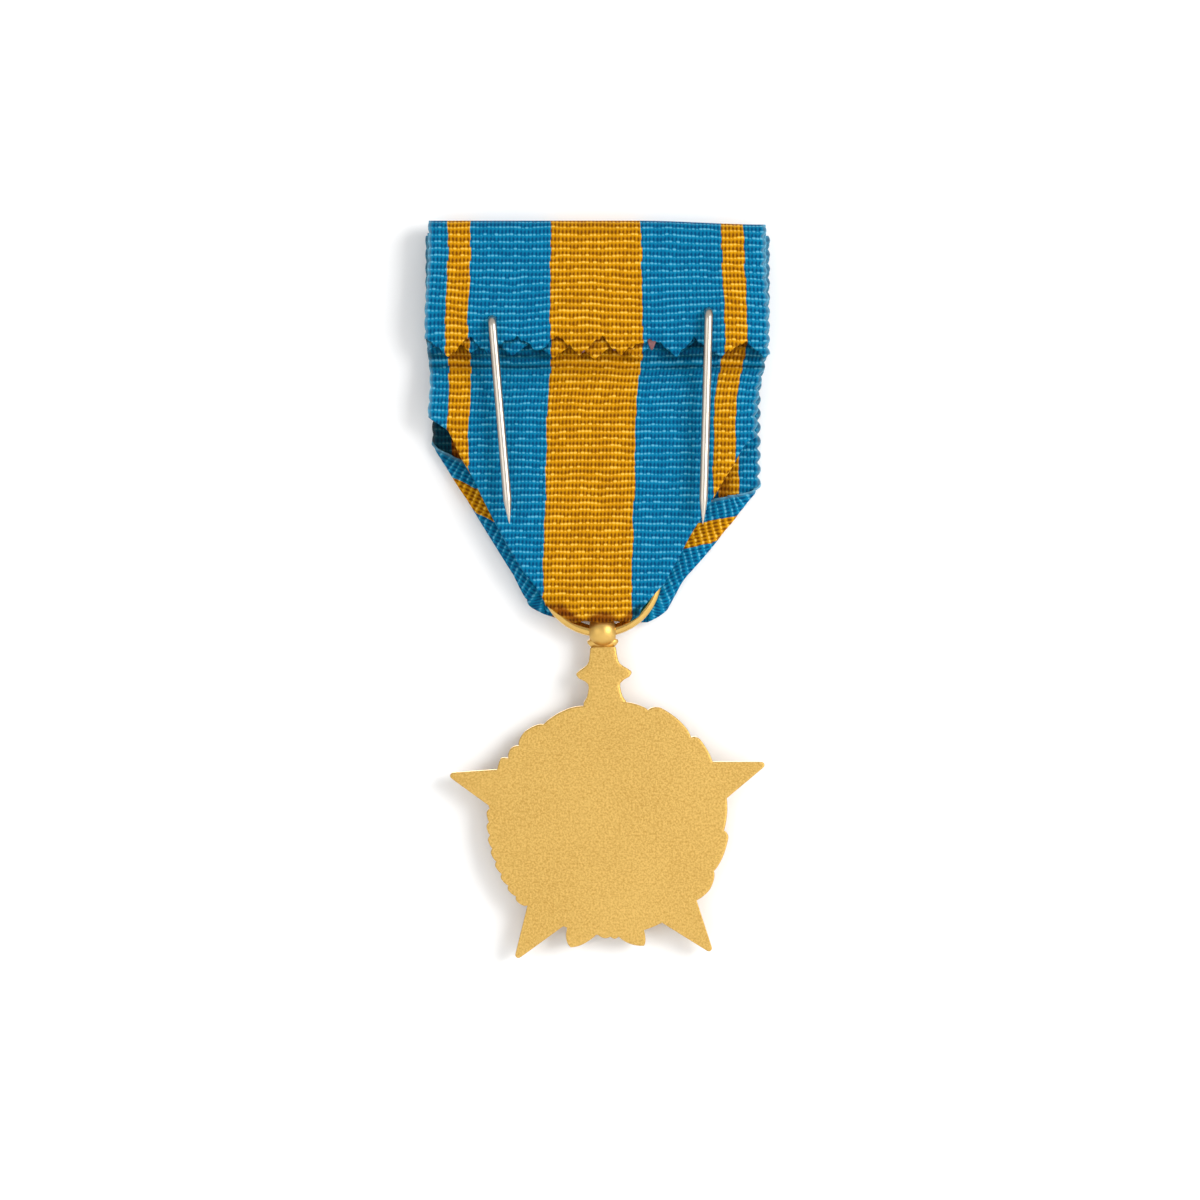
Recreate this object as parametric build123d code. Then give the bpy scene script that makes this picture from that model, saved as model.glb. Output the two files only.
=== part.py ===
"""A service medal on a folded ribbon with two garment pins, in millimetres.

The ribbon hangs along Z, its front faces -Y and its back, with the pins, faces +Y.
The origin lies midway between the two pins, where they turn down to enter a garment.
"""

import os
from math import asin, cos, degrees, radians, sin, sqrt

from build123d import *

# Ribbon: one woven strip, folded over a pin bar at the top and through a ring below.
ribbon_width = 37.0
cloth = 0.35
top_height = 9.9
flap_length = 14.5
inner_end_length = 14.9
tooth_depth = 1.9
teeth = 7.5
front_taper_start = 24.7
front_taper_angle = 33.4
back_taper_start = 21.4
back_taper_angle = 32.8

# Layers of the ribbon, counted from the pins towards the front.
pin_standoff = 1.15
glue_thickness = 0.10
layer_gap = 0.10
back_step_height = 3.0
tunnel_clearance = 0.12

# Pin bar and its two pins.
bar_length = 33.0
bar_height = 5.5
bar_thickness = 0.5
pin_diameter = 0.9
pin_bend_radius = 0.9
pin_drop = 22.9
pin_point_length = 2.7
right_pin_offset = 11.7
left_pin_offset = 11.6
right_pin_lean = 4.9
left_pin_lean = 1.6
pin_hole_clearance = 0.04

# Ring and drilled ball.
ring_wire = 1.2
ring_mean_diameter = 12.2
ring_depth = 28.3
ball_diameter = 3.12
ball_foot_diameter = 3.14
ball_foot_bottom = 1.67
ball_foot_height = 0.85
ball_bore_clearance = 0.05
sway_angle = 15.0
fold_clearance = 0.15
hang_lean = 2.0

# Struck star with its wreath and neck.
star_below_ball = 20.4
star_radius = 18.5
star_tip_half_angle = 20.0
star_tip_round = 0.35
plate_thickness = 1.4
star_relief = 1.5
wreath_disc_radius = 12.5
laurel_reach = 13.3
laurel_radius = 3.2
laurel_first = 27.0
laurel_pitch = 24.6
laurel_count = 6
oak_reach = 13.45
oak_radius = 0.75
oak_first = 22.0
oak_pitch = 6.4
oak_count = 21
tail_reach = 14.1
tail_radius = 1.05
tail_angle = 15.5
knot_reach = 12.95
knot_radius = 0.9
knot_angle = 3.2
wreath_relief = 0.55
wreath_inner_radius = 8.6
boss_radius = 6.6
boss_height = 0.95
boss_rim = 0.7
boss_sink = 0.3
neck_top_half_width = 1.39
neck_waist_half_width = 1.6
neck_wing_half_width = 3.0

# Places that follow from the sizes above.
flap_outer = -pin_standoff
flap_inner = flap_outer - cloth
end_outer = flap_inner - glue_thickness
end_inner = end_outer - cloth
bar_back = end_inner - layer_gap
bar_front = bar_back - bar_thickness
back_top_outer = bar_front - layer_gap
back_low_outer = flap_outer - 0.5
ring_plane = back_low_outer - 2 * cloth - tunnel_clearance - ring_wire / 2
front_inner = ring_plane - ring_wire / 2 - tunnel_clearance - cloth
front_outer = front_inner - cloth
ring_radius = ring_mean_diameter / 2
ball_radius = ball_diameter / 2
star_drop = ring_radius + star_below_ball
fold_radius = ring_radius - ball_radius - fold_clearance
half_width = ribbon_width / 2
front_foot = ring_depth + fold_radius * 1.02
ring_centre = Vector(0, ring_plane, -ring_depth)


def yz_block(y0, y1, z0, z1, width):
    """A plain block centred on X."""
    low, high = min(y0, y1), max(y0, y1)
    block = Box(width, high - low, z1 - z0)
    return Pos(0, (low + high) / 2, (z0 + z1) / 2) * block


def face_plate(points, y0, y1):
    """An outline given as X and Z, filled from one depth to another."""
    outline = make_face(Polyline(*points, close=True))
    flat = Plane.XZ * outline
    return Pos(0, y1, 0) * extrude(flat, amount=y1 - y0)


def taper_outline(start, angle, foot, top):
    """A strip of full width that narrows below its start, down to a foot."""
    foot_half = half_width - (foot - start + top_height) * sin(radians(angle)) / cos(radians(angle))
    return [
        (-half_width, top),
        (half_width, top),
        (half_width, top_height - start),
        (foot_half, -foot),
        (-foot_half, -foot),
        (-half_width, top_height - start),
    ]


def pinked_outline(length, top, shift):
    """A strip end cut to even teeth, its tips at the given length below the top fold."""
    tip = top_height - length
    steps = round(2 * teeth)
    points = [(-half_width, top), (half_width, top)]
    for step in range(steps + 1):
        low = (step + shift) % 2 == 0
        points.append((half_width - step * ribbon_width / steps, tip if low else tip + tooth_depth))
    return points


def top_turn(y_outer, y_other, top, width):
    """The half-round turn that joins two layers at the top."""
    radius = abs(y_outer - y_other) / 2
    middle = (y_outer + y_other) / 2
    turn = Rot(0, 90, 0) * Cylinder(radius, width)
    bore = Rot(0, 90, 0) * Cylinder(radius - cloth, width + 1)
    shell = Pos(0, middle, top - radius) * (turn - bore)
    return shell & yz_block(y_outer, y_other, top - radius, top, width + 1)


def front_leaf():
    """The front of the ribbon, with its sides folded behind it at the taper."""
    top = top_height - (flap_outer - front_outer) / 2
    outline = taper_outline(front_taper_start, front_taper_angle, front_foot, top)
    leaf = face_plate(outline, front_outer, front_inner)
    lining = taper_outline(front_taper_start, front_taper_angle, front_foot, top_height - front_taper_start)
    return leaf + face_plate(lining[2:], front_inner, front_inner + cloth)


def back_leaf():
    """The back of the ribbon: it steps inwards to pass under the flap at the top."""
    inner_top = top_height - cloth - layer_gap
    turn_radius = (end_outer - back_top_outer + cloth) / 2
    step_top = top_height - inner_end_length - 1.0
    step_bottom = step_top - back_step_height
    profile = [
        (back_top_outer, inner_top - turn_radius),
        (back_top_outer, step_top),
        (back_low_outer, step_bottom),
        (back_low_outer, -front_foot),
        (back_low_outer - cloth, -front_foot),
        (back_low_outer - cloth, step_bottom),
        (back_top_outer - cloth, step_top),
        (back_top_outer - cloth, inner_top - turn_radius),
    ]
    side = make_face(Polyline(*profile, close=True))
    strip = extrude(Plane.YZ * side, amount=half_width, both=True)
    outline = taper_outline(back_taper_start, back_taper_angle, front_foot, top_height)
    leaf = strip & face_plate(outline, front_outer, flap_outer)
    lining_top = min(step_bottom, top_height - back_taper_start)
    lining = taper_outline(back_taper_start, back_taper_angle, front_foot, lining_top)
    low = face_plate(lining[2:], back_low_outer - 2 * cloth, back_low_outer - cloth)
    turn = top_turn(end_outer, back_top_outer - cloth, inner_top, ribbon_width)
    return leaf + low + turn


def flap():
    """The outer end of the strip, brought over the top and down behind."""
    top = top_height - (flap_outer - front_outer) / 2
    tail = face_plate(pinked_outline(flap_length, top, 1), flap_inner, flap_outer)
    return tail + top_turn(flap_outer, front_outer, top_height, ribbon_width)


def inner_end():
    """The other end of the strip, turned down between the bar and the flap."""
    turn_radius = (end_outer - back_top_outer + cloth) / 2
    top = top_height - cloth - layer_gap - turn_radius
    return face_plate(pinked_outline(inner_end_length, top, 0), end_inner, end_outer)


def loop_fold():
    """The bottom of the strip, where it passes through the ring."""
    chord = fold_radius * 0.66
    disc = Rot(90, 0, 0) * Cylinder(fold_radius, back_low_outer - front_outer)
    middle = (back_low_outer + front_outer) / 2
    fold = Pos(0, middle, -ring_depth) * disc
    return fold & yz_block(front_outer, back_low_outer, -ring_depth - fold_radius - 1, -ring_depth - chord, 20)


def ball_path():
    """The space that the ball sweeps below the fold as the ring turns."""
    reach = radians(sway_angle + hang_lean) + asin((ball_radius + fold_clearance) / ring_radius)
    deep = 2 * ring_radius
    edge = deep * sin(reach) / cos(reach)
    wedge = face_plate(
        [(0, -ring_depth), (edge, -ring_depth - deep), (-edge, -ring_depth - deep)],
        front_outer - 1,
        flap_outer + 1,
    )
    core = Rot(90, 0, 0) * Cylinder(fold_radius, 20)
    return wedge - Pos(0, ring_plane, -ring_depth) * core


def pin_holes():
    """Round holes through the flap and the inner end, one for each pin."""
    holes = []
    for x in (right_pin_offset, -left_pin_offset):
        hole = Rot(90, 0, 0) * Cylinder(pin_diameter / 2 + pin_hole_clearance, 2 * cloth + 1)
        holes.append(Pos(x, (flap_outer + end_inner) / 2, 0) * hole)
    return holes


def make_ribbon():
    strip = front_leaf() + back_leaf() + flap() + inner_end() + loop_fold()
    strip = strip - ball_path()
    for hole in pin_holes():
        strip = strip - hole
    return strip


def make_glue():
    """The adhesive that holds the flap to the inner end."""
    strip = yz_block(end_outer, flap_inner, top_height - flap_length + tooth_depth, 3.0, ribbon_width - 6)
    for hole in pin_holes():
        strip = strip - hole
    return strip


def make_bar():
    """The flat bar inside the top fold, drilled for the pins' roots."""
    bar = yz_block(bar_front, bar_back, -bar_height / 2, bar_height / 2, bar_length)
    bar = fillet(bar.edges().filter_by(Axis.Y), bar_height / 2.2)
    for x in (right_pin_offset, -left_pin_offset):
        hole = Rot(90, 0, 0) * Cylinder(pin_diameter / 2, bar_thickness * 2)
        bar = bar - Pos(x, (bar_front + bar_back) / 2, 0) * hole
    return bar


def make_pin(x, lean):
    """A wire that leaves the bar, turns down and ends in a point."""
    radius = pin_diameter / 2
    straight = pin_drop - pin_point_length
    line = Line((bar_front, 0), (-pin_bend_radius, 0))
    bend = TangentArc(line @ 1, (0, -pin_bend_radius), tangent=line % 1)
    drop = Line(bend @ 1, (0, -straight))
    path = Plane.YZ * (line + bend + drop)
    start = Plane(origin=(0, bar_front, 0), z_dir=(0, 1, 0))
    wire = sweep(start * Circle(radius), path=path)
    point = Cone(radius, 0.08, pin_point_length)
    point = Pos(0, 0, -straight - pin_point_length / 2) * Rot(180, 0, 0) * point
    return Pos(x, 0, 0) * Rot(0, lean, 0) * (wire + point)


def hung(shape):
    """Place a shape made about the ring's centre, at the angle at which it hangs."""
    return Pos(ring_centre) * Rot(0, hang_lean, 0) * shape


def make_ring():
    return hung(Rot(90, 0, 0) * Torus(ring_radius, ring_wire / 2))


def bore_radius(x):
    """Bore radius at a distance along the wire, which curves away from the ball's axis."""
    return ring_wire / 2 + ball_bore_clearance + ring_radius - sqrt(ring_radius**2 - x**2)


def make_ball():
    """A ball on a short foot, its bore widening to its mouths so that it can tip on the ring."""
    foot = Cylinder(ball_foot_diameter / 2, ball_foot_height)
    foot = fillet(foot.edges(), ball_foot_height * 0.3)
    ball = Sphere(ball_radius) + Pos(0, 0, -ball_foot_bottom + ball_foot_height / 2) * foot
    end = ball_radius + 0.2
    throat = ThreePointArc((-end, bore_radius(end)), (0, bore_radius(0)), (end, bore_radius(end)))
    rest = Polyline((end, bore_radius(end)), (end, 0), (-end, 0), (-end, bore_radius(end)))
    bore = revolve(Plane.XZ * make_face(throat + rest), Axis.X)
    return hung(Pos(0, 0, -ring_radius) * (ball - bore))


def star_points(radius, inner):
    points = []
    for k in range(5):
        tip = radians(90 + 72 * k)
        notch = radians(126 + 72 * k)
        points.append((radius * cos(tip), radius * sin(tip)))
        points.append((inner * cos(notch), inner * sin(notch)))
    return points


def inner_star_radius():
    return star_radius * sin(radians(star_tip_half_angle)) / sin(radians(144 - star_tip_half_angle))


def lobe(angle, reach, radius):
    """A round lobe on the wreath's outline, at an angle from the top towards the laurel branch."""
    turn = radians(90 + angle)
    middle = reach - radius
    return Pos(middle * cos(turn), middle * sin(turn)) * Circle(radius)


def wreath_face():
    """The disc and leaf tips that show as the wreath's outline: laurel on one side, oak on the other."""
    face = Sketch() + Circle(wreath_disc_radius)
    for k in range(laurel_count):
        face = face + lobe(laurel_first + laurel_pitch * k, laurel_reach, laurel_radius)
    for k in range(oak_count):
        face = face + lobe(-oak_first - oak_pitch * k, oak_reach, oak_radius)
    for side in (-1, 1):
        face = face + lobe(180 + side * tail_angle, tail_reach, tail_radius)
        face = face + lobe(180 + side * knot_angle, knot_reach, knot_radius)
    return face


def neck_face():
    """The neck above the star, with its two small wings."""
    top = star_below_ball - ball_foot_bottom
    right = [
        (neck_top_half_width, top),
        (neck_waist_half_width, top - 1.52),
        (neck_waist_half_width + 0.44, top - 2.1),
        (neck_wing_half_width, top - 2.8),
        (neck_wing_half_width - 0.25, top - 3.3),
        (neck_waist_half_width, top - 4.0),
        (neck_waist_half_width, top - 4.4),
        (neck_waist_half_width + 0.3, top - 5.2),
        (neck_waist_half_width + 1.3, top - 5.9),
        (neck_waist_half_width + 1.3, wreath_disc_radius - 2),
    ]
    left = [(-x, y) for x, y in reversed(right)]
    return make_face(Polyline(*(right + left), close=True))


def blunt_tip_radius():
    """How far a rounded arm tip reaches from the star's centre."""
    return star_radius - star_tip_round / sin(radians(star_tip_half_angle)) + star_tip_round


def star_face():
    """The five-armed star, its tips rounded."""
    star = make_face(Polyline(*star_points(star_radius, inner_star_radius()), close=True))
    tips = star.vertices().filter_by(lambda v: Vector(v).length > star_radius - 0.01)
    return fillet(tips, star_tip_round)


def star_roof():
    """Ten flat facets that rise from the star's outline to its centre."""
    rim = star_points(blunt_tip_radius() - 0.15, inner_star_radius())
    rim = [Vector(x, y, 0) for x, y in rim]
    peak = Vector(0, 0, star_relief)
    faces = [make_face(Polyline(*rim, close=True))]
    for k in range(10):
        faces.append(make_face(Polyline(rim[k], rim[(k + 1) % 10], peak, close=True)))
    return Solid(Shell(faces))


def make_star():
    """The struck piece: a flat grained back, and a faceted star, wreath and boss in front."""
    wreath = wreath_face()
    plate = extrude(wreath + star_face() + neck_face(), amount=plate_thickness)
    wreath_band = wreath - Circle(wreath_inner_radius)
    band = Pos(0, 0, plate_thickness) * extrude(wreath_band, amount=wreath_relief)
    roof = Pos(0, 0, plate_thickness) * star_roof()
    boss = Pos(0, 0, plate_thickness) * extrude(Circle(boss_radius), amount=boss_height)
    sink = Pos(0, 0, plate_thickness + boss_height - boss_sink) * extrude(Circle(boss_radius - boss_rim), amount=2)
    medal = (plate + band + roof + boss) - sink
    lie = Plane(origin=(0, plate_thickness / 2, -star_drop), x_dir=(1, 0, 0), z_dir=(0, -1, 0))
    return hung(lie * medal)


parts = {
    "ribbon": make_ribbon(),
    "adhesive_strip": make_glue(),
    "pin_bar": make_bar(),
    "pin_right": make_pin(right_pin_offset, right_pin_lean),
    "pin_left": make_pin(-left_pin_offset, -left_pin_lean),
    "suspension_ring": make_ring(),
    "hanging_ball": make_ball(),
    "star": make_star(),
}

os.makedirs("parts", exist_ok=True)
for name, shape in parts.items():
    export_step(shape, f"parts/{name}.step")
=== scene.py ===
"""Looks of a service medal: a folded striped ribbon, its pins, a ring, a drilled ball and a struck star.

Laid out as a Blender add-on and run as a script. Shapes are worked out in millimetres as numpy
surfaces and put into meshes in metres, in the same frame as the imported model.
"""

import math

import bmesh
import bpy
import numpy as np
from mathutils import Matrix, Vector


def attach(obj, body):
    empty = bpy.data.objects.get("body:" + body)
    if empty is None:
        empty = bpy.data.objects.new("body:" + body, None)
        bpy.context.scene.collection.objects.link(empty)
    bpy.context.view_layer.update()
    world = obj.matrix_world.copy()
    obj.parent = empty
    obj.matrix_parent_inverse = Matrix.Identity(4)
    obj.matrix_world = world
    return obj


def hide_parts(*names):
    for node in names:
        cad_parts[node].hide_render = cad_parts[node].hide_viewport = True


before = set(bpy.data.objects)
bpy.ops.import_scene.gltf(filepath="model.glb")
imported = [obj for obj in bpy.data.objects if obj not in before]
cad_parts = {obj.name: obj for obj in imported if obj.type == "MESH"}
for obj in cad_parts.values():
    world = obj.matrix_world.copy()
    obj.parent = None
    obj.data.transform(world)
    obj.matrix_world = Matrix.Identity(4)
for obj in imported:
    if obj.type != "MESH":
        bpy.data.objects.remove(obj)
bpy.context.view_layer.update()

bl_info = {
    "name": "Service medal",
    "version": (1, 0, 0),
    "blender": (4, 5, 0),
    "location": "3D View > Sidebar > Medal",
    "description": "Builds a service medal on a folded striped ribbon",
    "category": "Add Mesh",
}

MM = 0.001


# ---------------------------------------------------------------- user settings


def length(name, text, default):
    """A length property in metres, from a default in millimetres."""
    return bpy.props.FloatProperty(
        name=name, description=text, default=default * MM, min=0.0, unit="LENGTH", precision=5
    )


def colour(name, text, default):
    """A linear colour property."""
    return bpy.props.FloatVectorProperty(
        name=name, description=text, default=default, size=3, min=0.0, max=1.0, subtype="COLOR"
    )


class MedalSizes(bpy.types.PropertyGroup):
    """Sizes that a user would change."""

    ribbon_width: length("Ribbon width", "Width of the woven ribbon", 37.0)
    cloth: length("Cloth", "Thickness of the ribbon", 0.25)
    rib_pitch: length("Rib pitch", "Distance from one woven rib to the next", 0.76)
    thread_pitch: length("Thread pitch", "Distance from one warp thread to the next", 0.416)
    tooth_depth: length("Tooth depth", "Depth of the pinked teeth", 1.85)
    wire: length("Ring wire", "Diameter of the ring's wire", 1.2)
    pin: length("Pin wire", "Diameter of the pins' wire", 0.9)
    plate: length("Star plate", "Thickness of the star's flat plate", 1.4)
    roof: length("Star relief", "Height of the star's facets at its middle", 1.5)
    leaf: length("Leaf relief", "Height of the wreath's leaves", 0.55)


class MedalColours(bpy.types.PropertyGroup):
    """Colours that a user would change."""

    blue: colour("Blue", "Lit colour of the blue warp", (0.001, 0.207, 0.385))
    # The two dark tints are partly painted shade of grooves and ribs' lower sides, partly threads darker at
    # random.
    blue_dark: colour("Blue shade", "Colour between the blue ribs", (0.000, 0.055, 0.155))
    gold: colour("Golden yellow", "Lit colour of the yellow warp", (0.680, 0.303, 0.001))
    gold_dark: colour("Golden shade", "Colour between the yellow ribs", (0.175, 0.052, 0.000))
    gilt: colour("Gilt", "Colour of the gilt metal", (0.715, 0.472, 0.140))
    nickel: colour("Nickel", "Colour of the pins", (0.640, 0.590, 0.520))
    glue: colour("Adhesive", "Colour of the adhesive film", (0.125, 0.045, 0.050))
    paper: colour("Paper", "Colour of the backdrop and the floor", (0.930, 0.930, 0.930))


def sizes():
    """The sizes in millimetres, by name."""
    group = bpy.context.scene.medal_sizes
    return {k: getattr(group, k) / MM for k in MedalSizes.__annotations__}


def tint(name):
    """A colour setting as red, green, blue and one."""
    return (*getattr(bpy.context.scene.medal_colours, name), 1.0)


# ---------------------------------------------------------------- places shared by the pieces

RING_CENTRE = np.array([0.0, -3.07, -28.3])
RING_RADIUS = 6.1
LEAN = math.radians(2.0)
STAR_DROP = 26.5
BALL_RADIUS = 1.64
TOP = 9.9


def hung(points):
    """Turn points made about the ring's centre by the lean, about Y, and move them to that centre."""
    x, y, z = points[..., 0], points[..., 1], points[..., 2]
    c, s = math.cos(LEAN), math.sin(LEAN)
    return np.stack([x * c + z * s, y, -x * s + z * c], axis=-1) + RING_CENTRE


# ---------------------------------------------------------------- meshes


def grid_faces(rows, cols, wrap_rows, wrap_cols):
    """Quads of a grid whose points run row by row; a wrapped direction joins its end to its start."""
    i = np.arange(rows if wrap_rows else rows - 1)[:, None]
    j = np.arange(cols if wrap_cols else cols - 1)[None, :]
    i2, j2 = (i + 1) % rows, (j + 1) % cols
    quads = np.stack([i * cols + j, i * cols + j2, i2 * cols + j2, i2 * cols + j], axis=-1)
    return quads.reshape(-1, 4)


def open_grid(points):
    """A grid that closes nowhere, as points and their faces."""
    return points, [grid_faces(*points.shape[:2], False, False)]


def closed_grid(points):
    """A grid that closes on itself both ways, as points and their faces."""
    return points, [grid_faces(*points.shape[:2], True, True)]


def closed_tube(points):
    """A grid of closed rings, row by row, with a flat cap at each end, as points and their faces."""
    rows, cols = points.shape[:2]
    ring = np.arange(cols)
    caps = np.stack([ring, rows * cols - 1 - ring])
    return points, [grid_faces(rows, cols, False, True), caps]


def turns(count):
    """Angles once round, without the last one, which is the first again."""
    return np.linspace(0.0, 2 * math.pi, count, endpoint=False)


def make_mesh(name, parts, material, uv=None):
    """One object from several (points, face arrays) in millimetres; uv holds one pair per point."""
    counts = [points[..., 0].size for points, _ in parts]
    starts = np.cumsum([0, *counts])
    corners = np.concatenate([points.reshape(-1, 3) for points, _ in parts]) * MM
    faces = []
    for start, (_, arrays) in zip(starts, parts):
        for quads in arrays:
            faces += (quads + start).tolist()
    mesh = bpy.data.meshes.new(name)
    mesh.from_pydata(corners.tolist(), [], faces)
    mesh.polygons.foreach_set("use_smooth", np.ones(len(mesh.polygons), bool))
    if uv is not None:
        corner = np.zeros(len(mesh.loops), np.int32)
        mesh.loops.foreach_get("vertex_index", corner)
        layer = mesh.uv_layers.new(name="weave")
        layer.data.foreach_set("uv", uv.reshape(-1, 2)[corner].astype(np.float32).ravel())
    if mesh.validate():
        raise RuntimeError(f"{name} came out with broken faces")
    mesh.update()
    obj = bpy.data.objects.new(name, mesh)
    bpy.context.scene.collection.objects.link(obj)
    obj.data.materials.append(material)
    return obj


def point_outwards(obj):
    """Merge doubles and turn a closed mesh's faces outwards."""
    bm = bmesh.new()
    bm.from_mesh(obj.data)
    bmesh.ops.remove_doubles(bm, verts=bm.verts, dist=1e-8)
    bmesh.ops.recalc_face_normals(bm, faces=bm.faces)
    bm.to_mesh(obj.data)
    bm.free()
    obj.data.update()


def fit(obj, body, node):
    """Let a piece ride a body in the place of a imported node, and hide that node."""
    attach(obj, body)
    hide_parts(node)


def need(*nodes):
    """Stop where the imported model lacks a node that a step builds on."""
    for node in nodes:
        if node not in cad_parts:
            raise RuntimeError(f"the packed model has no {node}")


def smooth(x, low, high):
    """Rises smoothly from 0 at low to 1 at high: 3t^2 - 2t^3."""
    t = np.clip((x - low) / (high - low), 0.0, 1.0)
    return t * t * (3.0 - 2.0 * t)


def bell(x, wide):
    """One at x = 0, and falls away both ways: exp(-(x / wide)^2)."""
    return np.exp(-((x / wide) ** 2))


# ---------------------------------------------------------------- materials


class Graph:
    """A shorthand for building a material's nodes."""

    def __init__(self, name):
        """Start an empty material."""
        self.material = bpy.data.materials.new(name)
        self.material.use_nodes = True
        self.tree = self.material.node_tree
        self.tree.nodes.clear()

    def node(self, kind, inputs=None, **settings):
        """Add a node; an input is a socket to link or a value to set."""
        made = self.tree.nodes.new(kind)
        for key, value in settings.items():
            setattr(made, key, value)
        for key, value in (inputs or {}).items():
            if isinstance(value, bpy.types.NodeSocket):
                self.tree.links.new(value, made.inputs[key])
            else:
                made.inputs[key].default_value = value
        return made

    def math(self, operation, a, b=0.0, c=0.0):
        """One arithmetic step on up to three numbers."""
        return self.node("ShaderNodeMath", {0: a, 1: b, 2: c}, operation=operation).outputs[0]

    def clamp(self, value):
        """A number held between 0 and 1."""
        return self.node("ShaderNodeClamp", {0: value}).outputs[0]

    def vary(self, noise, amount, base):
        """The base, plus or minus half the amount, by a noise of 0 to 1."""
        return self.math("MULTIPLY_ADD", self.math("SUBTRACT", noise, 0.5), amount, base)

    def mix(self, factor, a, b, blend="MIX"):
        """Two colours mixed by a factor."""
        made = self.node("ShaderNodeMix", {0: factor, 6: a, 7: b}, data_type="RGBA", blend_type=blend)
        return made.outputs[2]

    def noise(self, vector, scale, detail=2.0, rough=0.5):
        """Soft noise of 0 to 1 at a vector."""
        made = self.node(
            "ShaderNodeTexNoise", {"Vector": vector, "Scale": scale, "Detail": detail, "Roughness": rough}
        )
        return made.outputs[0]

    def pair(self, x, y):
        """A vector of two numbers."""
        return self.node("ShaderNodeCombineXYZ", {0: x, 1: y}).outputs[0]

    def humps(self, x, pitch):
        """One hump for each pitch: |sin(pi x / pitch)|."""
        return self.math("ABSOLUTE", self.math("SINE", self.math("MULTIPLY", x, math.pi / pitch)))

    def swing(self, angle, ahead):
        """A wave of 0 to 1: (1 + cos(angle + ahead)) / 2."""
        return self.math("MULTIPLY_ADD", self.math("COSINE", self.math("ADD", angle, ahead)), 0.5, 0.5)

    def stretched(self, vector, scale):
        """A vector scaled by axis."""
        return self.node("ShaderNodeMapping", {0: vector, 3: scale}).outputs[0]

    def bump(self, height, strength, distance):
        """A normal bumped by a height."""
        inputs = {"Strength": strength, "Distance": distance, "Height": height}
        return self.node("ShaderNodeBump", inputs).outputs[0]

    def surface(self, inputs):
        """The plain surface shader with these inputs."""
        return self.node("ShaderNodeBsdfPrincipled", inputs).outputs[0]

    def metal(self, colour, rough, normal=None):
        """The surface shader of a bare metal."""
        inputs = {"Base Color": colour, "Metallic": 1.0, "Roughness": rough}
        if normal is not None:
            inputs["Normal"] = normal
        return self.surface(inputs)

    def finish(self, shader):
        """Join the shader to the output and hand over the material."""
        self.node("ShaderNodeOutputMaterial", {"Surface": shader})
        return self.material


def shaded(base, red, green, blue):
    """A colour with each part scaled, up to one."""
    return (min(1.0, base[0] * red), min(1.0, base[1] * green), min(1.0, base[2] * blue), 1.0)


def object_coordinates(g):
    """The piece's own coordinates, in metres."""
    return g.node("ShaderNodeTexCoord").outputs["Object"]


# Widths of the stripes from the -X edge, blue first; the last blue one takes what is left.
STRIPES = (2.25, 2.45, 8.85, 9.9, 8.85, 2.45)
SELVEDGE = 0.42
PALE_SELVEDGE = (0.20, 0.42, 0.52, 1.0)
# Tints of the painted glints on the blue and the golden ribs.
BLUE_GLINT = (0.16, 0.52, 0.70, 1.0)
GOLD_GLINT = (1.0, 0.66, 0.12, 1.0)
# Tint that the painted shade multiplies into the cloth.
PAINTED_SHADE_TINT = (0.33, 0.18, 0.13, 1.0)


def stripe_mask(g, place):
    """One on the golden stripes and zero on the blue ones, by the place across the ribbon."""
    width = sizes()["ribbon_width"]
    ramp = g.node("ShaderNodeValToRGB", {0: g.math("MULTIPLY_ADD", place, 1.0 / width, 0.5)})
    ramp.color_ramp.interpolation = "CONSTANT"
    starts = np.cumsum([0.0, *STRIPES]) / width
    elements = ramp.color_ramp.elements
    while len(elements) < len(starts):
        elements.new(0.5)
    for k, start in enumerate(starts):
        elements[k].position = float(start)
        elements[k].color = (k % 2, k % 2, k % 2, 1.0)
    return ramp.outputs[0]


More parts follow.
